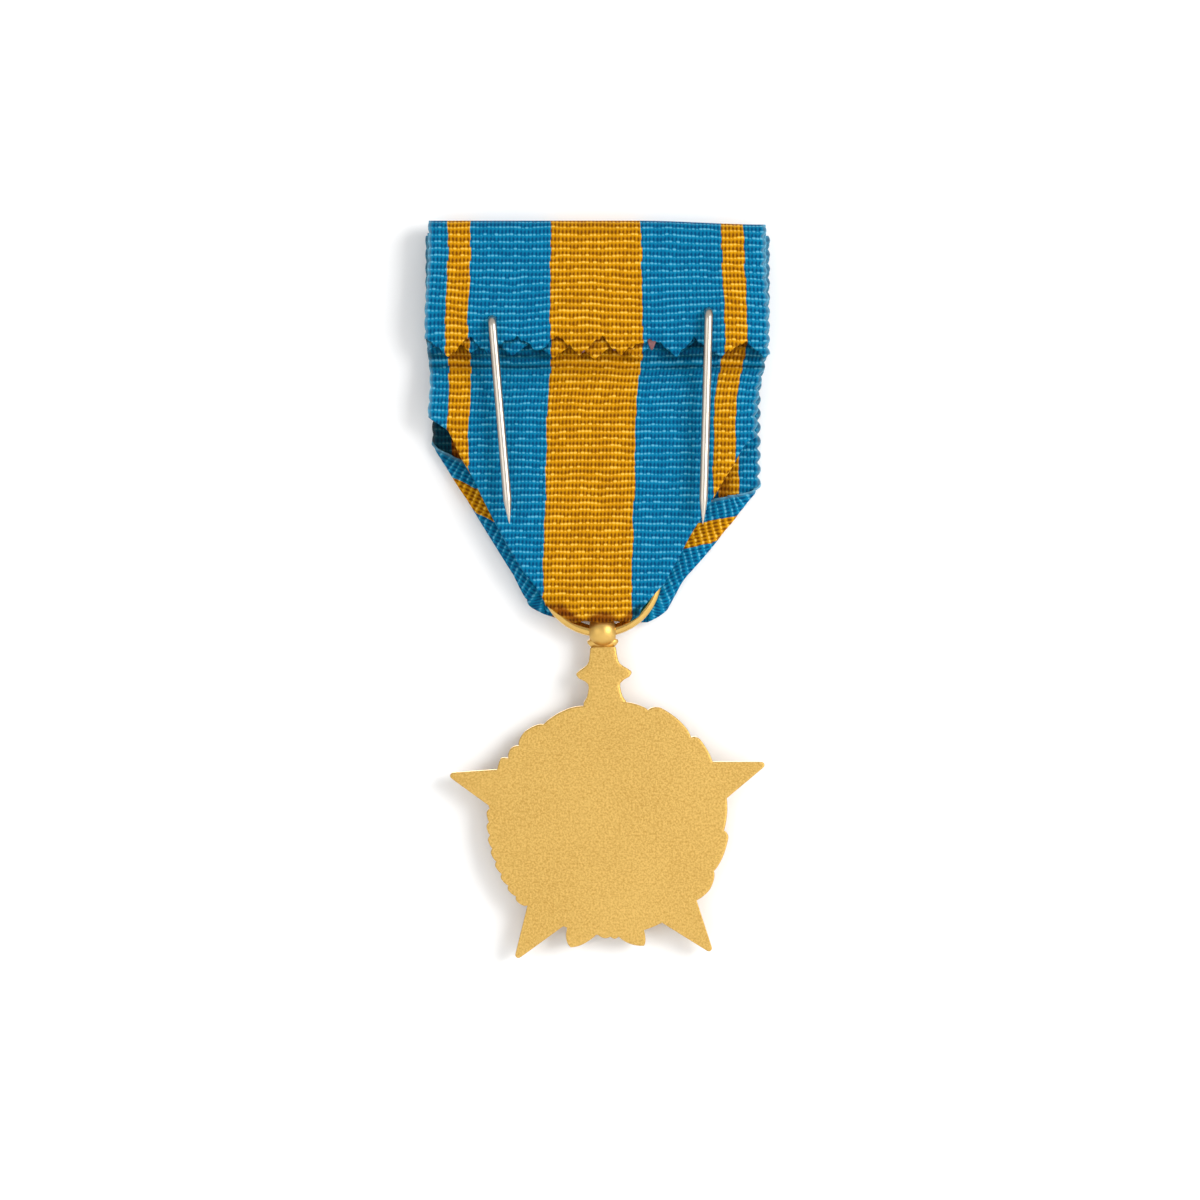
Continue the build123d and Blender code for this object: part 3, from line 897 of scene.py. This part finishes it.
class MEDAL_OT_pins(bpy.types.Operator):
    """The two garment pins and the bar that carries them"""

    bl_idname = "medal.pins"
    bl_label = "Pins and bar"

    def execute(self, context):
        """Make both wires and give the bar its metal."""
        need("pin_bar", "pin_right", "pin_left")
        wire = nickel_wire()
        for node, x, lean, droop in PINS:
            tube = closed_tube(pin_surface(x, math.radians(lean), droop))
            obj = make_mesh(node + "_wire", [tube], wire)
            point_outwards(obj)
            fit(obj, "ribbon", node)
        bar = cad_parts["pin_bar"]
        bar.data.materials.clear()
        bar.data.materials.append(plain_bar_metal())
        return {"FINISHED"}


# ---------------------------------------------------------------- ring and ball


BALL_MOUTH = 1.42
CLEARANCE = 0.045
MOUTH_EDGE = 0.05
# The foot's outline: how far below the ball's centre, and the half width there.
FOOT = (
    (0.82, 0.0), (0.82, 1.20), (0.83, 1.38), (0.87, 1.54), (0.95, 1.64), (1.10, 1.70),
    (1.28, 1.62), (1.48, 1.46), (1.64, 1.30), (1.71, 1.10), (1.71, 0.0),
)
FOOT_OVAL = 0.40


def ring_surface():
    """A torus: a circle of the wire's radius carried round a circle of the ring's radius."""
    wire = sizes()["wire"] / 2.0
    t, a = turns(220)[:, None], turns(40)[None, :]
    r = RING_RADIUS + wire * np.cos(a)
    return hung(np.stack([r * np.sin(t), wire * np.sin(a) + 0 * t, r * np.cos(t)], -1))


def ball_surface():
    """A drilled ball: outside arc from mouth to mouth, then a bore that opens towards its mouths.

    Rows are circles about X. The bore's radius is the wire's, a clearance, and R - sqrt(R^2 - x^2),
    which is how far the ring curves away, so that the ball swings freely on it.
    """
    start = math.acos(BALL_MOUTH / BALL_RADIUS)
    outer = np.linspace(start, math.pi - start, 52)
    inner = np.linspace(MOUTH_EDGE - BALL_MOUTH, BALL_MOUTH - MOUTH_EDGE, 20)
    bore = sizes()["wire"] / 2.0 + CLEARANCE + RING_RADIUS - np.sqrt(RING_RADIUS**2 - inner**2)
    x = np.concatenate([BALL_RADIUS * np.cos(outer), inner])[:, None]
    r = np.concatenate([BALL_RADIUS * np.sin(outer), bore])[:, None]
    a = turns(72)[None, :]
    return hung(np.stack([x + 0 * a, r * np.cos(a), r * np.sin(a) - RING_RADIUS], -1))


def foot_surface():
    """The ball's foot: an oval collar that swells below the ball and rounds in under it."""
    down, wide = np.array(FOOT).T
    knots = np.arange(len(FOOT))
    t = np.linspace(0, len(FOOT) - 1, 61)
    z = -np.interp(t, knots, down)[:, None] - RING_RADIUS
    r = np.interp(t, knots, wide)[:, None]
    a = turns(64)[None, :]
    return hung(np.stack([r * np.cos(a), FOOT_OVAL * r * np.sin(a), z + 0 * a], -1))


class MEDAL_OT_ring(bpy.types.Operator):
    """The suspension ring and the drilled ball with its foot"""

    bl_idname = "medal.ring"
    bl_label = "Ring and ball"

    def execute(self, context):
        """Make the ring, then the ball and its foot as one piece."""
        need("suspension_ring", "hanging_ball")
        ring = make_mesh("ring_wire", [closed_grid(ring_surface())], polished_gilt("polished_gilt", 0.08))
        point_outwards(ring)
        fit(ring, "ring", "suspension_ring")
        parts = [closed_grid(ball_surface()), closed_tube(foot_surface())]
        ball = make_mesh("drilled_ball", parts, polished_gilt("satin_gilt", 0.36))
        point_outwards(ball)
        fit(ball, "medal", "hanging_ball")
        return {"FINISHED"}


# ---------------------------------------------------------------- star

STAR_TIP = 18.5
STAR_HALF_ANGLE = math.radians(20.0)
TIP_ROUND = 0.35
DISC = 12.42
BOSS = 6.6


def arm_offset(angle):
    """Angle to the nearest arm's axis."""
    step = 2 * math.pi / 5
    return (angle + step / 2) % step - step / 2


def arm_line(angle):
    """Distance along a ray to a sharp star's outline: R sin(a) / sin(a + offset)."""
    return STAR_TIP * math.sin(STAR_HALF_ANGLE) / np.sin(STAR_HALF_ANGLE + np.abs(arm_offset(angle)))


# Each leaf tip on the outline: the angles where it starts and ends in degrees, its rise, the share
# of it that is steep, and how its far side falls.
LEAVES = (
    (4.0, 21.5, 0.60, 0.10, 0.25),
    (21.3, 46.8, 1.10, 0.20, 0.45),
    (46.5, 66.0, 0.85, 0.18, 0.45),
    (72.0, 97.5, 0.60, 0.30, 0.80),
    (97.2, 118.2, 0.68, 0.14, 0.45),
    (117.6, 137.0, 0.88, 0.45, 0.60),
    (164.3, 177.5, 1.85, 0.16, 0.70),
    (177.0, 181.5, 0.42, 0.50, 0.60),
    (181.0, 187.0, 0.34, 0.50, 0.60),
    (203.2, 188.6, 2.15, 0.30, 0.85),
    (303.8, 290.0, 1.22, 0.16, 0.60),
    (311.8, 303.0, 0.85, 0.45, 0.45),
    (327.8, 311.4, 0.92, 0.60, 0.45),
    (352.0, 327.0, 0.48, 0.40, 0.45),
)
# A row of small leaf tips along one side: count, first angle, pitch, span, rise, steep share, fall.
SMALL_LEAVES = (9, 226.0, 6.4, 6.9, 0.46, 0.30, 0.6)
# Within this many degrees of the top, the neck takes the place of an arm.
ARM_CLEAR = 36.0


def leaf_tip(angle, start, end, rise, steep, fall):
    """Extra reach of one leaf tip: it rises over its steep part and falls away over the rest."""
    q = (np.degrees(angle) - start) / (end - start)
    up = np.clip(q / steep, 0.0, 1.0) ** 0.5
    down = np.clip((1.0 - q) / (1.0 - steep), 0.0, 1.0) ** fall
    both = (np.maximum(up, 1e-3) ** -5 + np.maximum(down, 1e-3) ** -5) ** -0.2
    return np.where((q > 0) & (q < 1), rise * both, 0.0)


def star_outline(angle):
    """Outline by angle from the top: the farthest of the disc, the leaf tips and four rounded arms."""
    degrees = np.degrees(angle)
    leaves = np.maximum.reduce([leaf_tip(angle, *leaf) for leaf in LEAVES])
    count, first, pitch, span, *shape = SMALL_LEAVES
    starts = [first + pitch * k for k in range(count)]
    small = np.maximum.reduce([leaf_tip(angle, start + span, start, *shape) for start in starts])
    side = smooth(degrees, 224.0, 227.0) * (1.0 - smooth(degrees, 288.0, 292.0))
    out = DISC + np.maximum(leaves, side * (0.42 + small))
    offset = np.abs(arm_offset(angle))
    sine, cosine = math.sin(STAR_HALF_ANGLE), math.cos(STAR_HALF_ANGLE)
    centre = STAR_TIP - TIP_ROUND / sine
    tangent = math.atan2(TIP_ROUND * cosine, centre + TIP_ROUND * sine)
    within = np.clip(TIP_ROUND**2 - (centre * np.sin(offset)) ** 2, 0, None)
    rounded = centre * np.cos(offset) + np.sqrt(within)
    arm = np.where(offset < tangent, rounded, arm_line(angle))
    top = np.abs((angle + math.pi) % (2 * math.pi) - math.pi) < math.radians(ARM_CLEAR)
    return np.where(top, out, np.maximum(out, arm))


def leaf_height(x, z, at, radius, turn, size, width, lobes, side):
    """One leaf: a dome of elliptical section over a pointed outline, with a sunk midrib.

    Along the leaf p runs from 0 to 1; its half width is w sin(pi p)^0.8, waved for a lobed leaf.
    """
    a = side * at
    cx, cz = -radius * np.sin(a), radius * np.cos(a)
    heading = a + side * (1.5 * math.pi + turn)
    dx, dz = -np.sin(heading), np.cos(heading)
    px, pz = x - cx, z - cz
    p = (px * dx + pz * dz) / size + 0.5
    q = px * dz - pz * dx
    inside = np.clip(p, 1e-4, 1 - 1e-4)
    w = width * np.sin(math.pi * inside) ** 0.8
    if lobes:
        w = w * (0.78 + 0.28 * np.abs(np.cos(3.2 * math.pi * inside)))
    rise = np.clip(1.0 - (q / w) ** 2, 0.0, None) ** 0.5
    vein = 0.22 * np.exp(-((q / 0.11) ** 2))
    return np.where((p > 0) & (p < 1), rise - vein * (rise > 0), 0.0)


WREATH_FROM, WREATH_PITCH, WREATH_LEAVES = 14.0, 12.6, 12
WREATH_LINES = ((10.7, 0.0), (11.85, -0.50), (9.55, 0.50))
LEAF_LENGTH = 3.5
BEADS = 48
BEAD_RADIUS, BEAD = 5.75, 0.30
RIM_RADIUS, RIM = 6.28, 0.36


def wreath_height(x, z):
    """The highest leaf at each place: plain leaves round the -X side, lobed ones round +X."""
    leaves = np.zeros_like(x)
    for side, lobes, wide in ((1, False, 0.80), (-1, True, 0.92)):
        for k in range(WREATH_LEAVES):
            at = math.radians(WREATH_FROM + WREATH_PITCH * k)
            for radius, turn in WREATH_LINES:
                leaf = leaf_height(x, z, at, radius, turn, LEAF_LENGTH, wide, lobes, side)
                leaves = np.maximum(leaves, leaf)
    return leaves


def boss_height(r, angle):
    """The boss: a field with plain rays, a petalled bud, a ring of beads and a rounded rim."""
    rays = 0.16 * np.abs(np.cos(angle * 12.0)) * smooth(r, 1.9, 2.6) * (1.0 - smooth(r, 4.7, 5.3))
    bud = 0.42 * np.clip(1.0 - (r / 1.7) ** 2, 0.0, None) ** 0.5
    petals = 0.10 * np.cos(angle * 5.0) * smooth(r, 0.3, 0.9) * (1.0 - smooth(r, 1.2, 1.7))
    bead_angle = (angle * BEADS / (2 * math.pi)) % 1.0 - 0.5
    around = bead_angle * 2 * math.pi / BEADS * BEAD_RADIUS / BEAD
    beads = 0.28 * np.clip(1.0 - ((r - BEAD_RADIUS) / BEAD) ** 2 - around**2, 0.0, None) ** 0.5
    rim = 0.95 * np.clip(1.0 - ((r - RIM_RADIUS) / RIM) ** 4, 0.0, None) ** 0.5
    return np.where(r < RIM_RADIUS, np.maximum(0.55 + rays + bud + petals + beads, rim), rim)


def star_relief(x, z, r, angle):
    """Front height above the plate: the highest of the facets, the wreath and the boss."""
    s = sizes()
    facets = s["roof"] * np.clip(1.0 - r / (arm_line(angle) * 0.97), 0.0, None)
    band = 0.25 * np.clip(1.0 - ((r - 10.8) / 1.9) ** 2, 0.0, None)
    wreath = np.maximum(s["leaf"] * wreath_height(x, z), band) * (1.0 - smooth(facets, 0.22, 0.42))
    around = np.maximum(wreath, 0.10 * (r < 9.0))
    return np.maximum(facets, np.where(r < BOSS, boss_height(r, angle), around))


EDGE_ROUND = 0.16
STAR_RAYS = 1260


def star_body():
    """The star as one closed surface: back, rounded edge, front relief, on rays from its centre.

    Rows run from the back's centre out to the outline, over the edge and in to the front's centre.
    """
    plate = sizes()["plate"]
    angle = turns(STAR_RAYS)[None, :]
    edge = star_outline(angle)
    shoulder = edge - EDGE_ROUND
    back = np.array([0.02, 0.3, 0.6, 0.85])[:, None] * (shoulder - 0.12)
    near = shoulder - np.array([0.10, 0.0])[:, None]
    quarter = np.linspace(0.0, math.pi / 2, 4)[1:, None]
    inner = np.concatenate([np.linspace(7.3, 6.7, 3), np.linspace(6.62, 5.4, 13), np.linspace(5.1, 0.03, 13)])
    outer = 7.6 + (shoulder - 0.05 - 7.6) * np.linspace(1.0, 0.0, 34)[:, None] ** 0.92
    r_front = np.concatenate([outer, inner[:, None] + 0 * edge])
    x, z = -r_front * np.sin(angle), r_front * np.cos(angle)
    relief = star_relief(x, z, r_front, angle + 0 * r_front) * smooth(shoulder - r_front, 0.0, 0.35)
    out_and_in = (EDGE_ROUND * np.sin(quarter), [[EDGE_ROUND]], EDGE_ROUND * np.cos(quarter))
    r = np.concatenate([back, near, *(shoulder + step for step in out_and_in), r_front])
    low = EDGE_ROUND * (1.0 - np.cos(quarter))
    high = plate - EDGE_ROUND * (1.0 - np.sin(quarter))
    sides = np.concatenate([low, [[plate - EDGE_ROUND]], high]) + 0 * edge
    d = np.concatenate([0 * back, 0 * near, sides, plate + relief])
    x, z = -r * np.sin(angle), r * np.cos(angle)
    return closed_tube(hung(np.stack([x, plate / 2 - d, z - STAR_DROP], -1)))


# The neck's outline: how far below its top, and the half width there.
NECK = (
    (0.0, 1.30), (0.10, 1.39), (0.8, 1.47), (1.52, 1.60), (1.85, 1.78), (2.12, 2.10),
    (2.45, 2.62), (2.72, 2.96), (2.86, 3.00), (3.02, 2.95), (3.32, 2.72), (3.62, 2.12),
    (3.95, 1.76), (4.3, 1.70), (4.9, 1.80), (5.4, 1.95), (5.95, 2.3), (7.8, 2.6),
)
NECK_BELOW_BALL = 1.67
NECK_SQUARENESS = 0.22
NECK_BEHIND_PLATE = 0.008


def neck_body():
    """The winged neck: a half width by height, a squared-off oval section and a ridge in front.

    Round the section the corners are sign(cos a) |cos a|^p and sign(sin a) |sin a|^p.
    """
    half = sizes()["plate"] / 2
    top = STAR_DROP - RING_RADIUS - NECK_BELOW_BALL
    down, wide = np.array(NECK).T
    t = np.concatenate([np.linspace(0.0, 0.3, 5), np.linspace(0.36, 6.0, 95), np.linspace(6.1, 7.8, 8)])
    w = np.interp(t, down, wide)[:, None]
    z = (top - t)[:, None]
    a = turns(64)[None, :]
    across = np.sign(np.cos(a)) * np.abs(np.cos(a)) ** NECK_SQUARENESS
    deep = np.sign(np.sin(a)) * np.abs(np.sin(a)) ** NECK_SQUARENESS
    x = w * across
    ridge = 0.42 * np.clip(1.0 - np.abs(x) / w, 0.0, None) * smooth(t, 0.2, 1.6)[:, None]
    d = (half - NECK_BEHIND_PLATE) * deep + ridge * (deep > 0.3)
    return closed_tube(hung(np.stack([x, -d, z - STAR_DROP + 0 * x], -1)))


class MEDAL_OT_star(bpy.types.Operator):
    """The struck star with its wreath, boss and winged neck"""

    bl_idname = "medal.star"
    bl_label = "Star"

    def execute(self, context):
        """Make the star and its neck as one piece."""
        need("star")
        obj = make_mesh("struck_star", [star_body(), neck_body()], grained_gilt())
        point_outwards(obj)
        fit(obj, "medal", "star")
        return {"FINISHED"}


# ---------------------------------------------------------------- stage

VIEW_WIDTH = 129.6
LENS = 100.0
SENSOR = 36.0
LOOK_AT = (0.05, -3.0, -31.0)
WALL = 400.0
BACKDROP_Y = -5.35
FLOOR_Z = -112.0
# Each light: its name, place, watts and side; all of them face one point.
LIGHTS = (
    ("key", (-400.0, 400.0, 100.0), 2.36, 300.0),
    ("fill", (320.0, 430.0, -60.0), 0.75, 420.0),
    ("front_fill", (60.0, -500.0, 160.0), 2.2, 400.0),
)
LIT_POINT = Vector((0.0, -3.0, -30.0))
SKY = 0.625


def area_light(name, place, watts, side):
    """A square soft light at a place in millimetres, facing the lit point."""
    data = bpy.data.lights.new(name, "AREA")
    data.energy = watts
    data.shape = "SQUARE"
    data.size = side * MM
    obj = bpy.data.objects.new(name, data)
    bpy.context.scene.collection.objects.link(obj)
    obj.location = Vector(place) * MM
    obj.rotation_euler = (LIT_POINT - Vector(place)).to_track_quat("-Z", "Y").to_euler()


def place_camera(scene):
    """A long lens behind the medal, as far off as makes its view as wide as wanted."""
    data = bpy.data.cameras.new("camera")
    data.lens = LENS
    data.sensor_width = SENSOR
    data.clip_start = 0.01
    data.clip_end = 5.0
    camera = bpy.data.objects.new("camera", data)
    scene.collection.objects.link(camera)
    distance = VIEW_WIDTH * LENS / SENSOR
    camera.location = (LOOK_AT[0] * MM, (LOOK_AT[1] + distance) * MM, LOOK_AT[2] * MM)
    camera.rotation_euler = (math.pi / 2, 0.0, math.pi)
    scene.camera = camera


class MEDAL_OT_stage(bpy.types.Operator):
    """Backdrop, floor, lights and camera"""

    bl_idname = "medal.stage"
    bl_label = "Stage"

    def execute(self, context):
        """Make the stage round the medal."""
        scene = context.scene
        behind = np.array([[[x, BACKDROP_Y, z] for x in (WALL, -WALL)] for z in (FLOOR_Z, WALL)])
        below = np.array([[[x, y, FLOOR_Z] for x in (-WALL, WALL)] for y in (-WALL, WALL)])
        backdrop = make_mesh("backdrop", [open_grid(behind)], paper(True))
        floor = make_mesh("floor", [open_grid(below)], paper(False))
        for light in LIGHTS:
            area_light(*light)
        world = bpy.data.worlds.new("studio")
        world.use_nodes = True
        sky = world.node_tree.nodes["Background"]
        sky.inputs[0].default_value = (1.0, 1.0, 1.0, 1.0)
        sky.inputs[1].default_value = SKY
        scene.world = world
        scene.view_settings.view_transform = "Standard"
        place_camera(scene)
        return {"FINISHED"}


class MEDAL_PT_panel(bpy.types.Panel):
    """Lists the medal's operators and settings"""

    bl_label = "Service medal"
    bl_idname = "MEDAL_PT_panel"
    bl_space_type = "VIEW_3D"
    bl_region_type = "UI"
    bl_category = "Medal"

    def draw(self, context):
        """List a button for each step, then the sizes and colours."""
        for step in STEPS:
            self.layout.operator(step.bl_idname)
        for name in MedalSizes.__annotations__:
            self.layout.prop(context.scene.medal_sizes, name)
        for name in MedalColours.__annotations__:
            self.layout.prop(context.scene.medal_colours, name)


STEPS = (
    MEDAL_OT_ribbon,
    MEDAL_OT_adhesive,
    MEDAL_OT_pins,
    MEDAL_OT_ring,
    MEDAL_OT_star,
    MEDAL_OT_stage,
)
CLASSES = (MedalSizes, MedalColours, *STEPS, MEDAL_PT_panel)


def register():
    """Register the classes and hang the settings on the scene."""
    for cls in CLASSES:
        bpy.utils.register_class(cls)
    bpy.types.Scene.medal_sizes = bpy.props.PointerProperty(type=MedalSizes)
    bpy.types.Scene.medal_colours = bpy.props.PointerProperty(type=MedalColours)


def unregister():
    """Take the settings and the classes away again."""
    del bpy.types.Scene.medal_sizes
    del bpy.types.Scene.medal_colours
    for cls in reversed(CLASSES):
        bpy.utils.unregister_class(cls)


def main():
    """Build every piece and the stage in order."""
    register()
    bpy.ops.medal.ribbon()
    bpy.ops.medal.adhesive()
    bpy.ops.medal.pins()
    bpy.ops.medal.ring()
    bpy.ops.medal.star()
    bpy.ops.medal.stage()


if __name__ == "__main__":
    main()
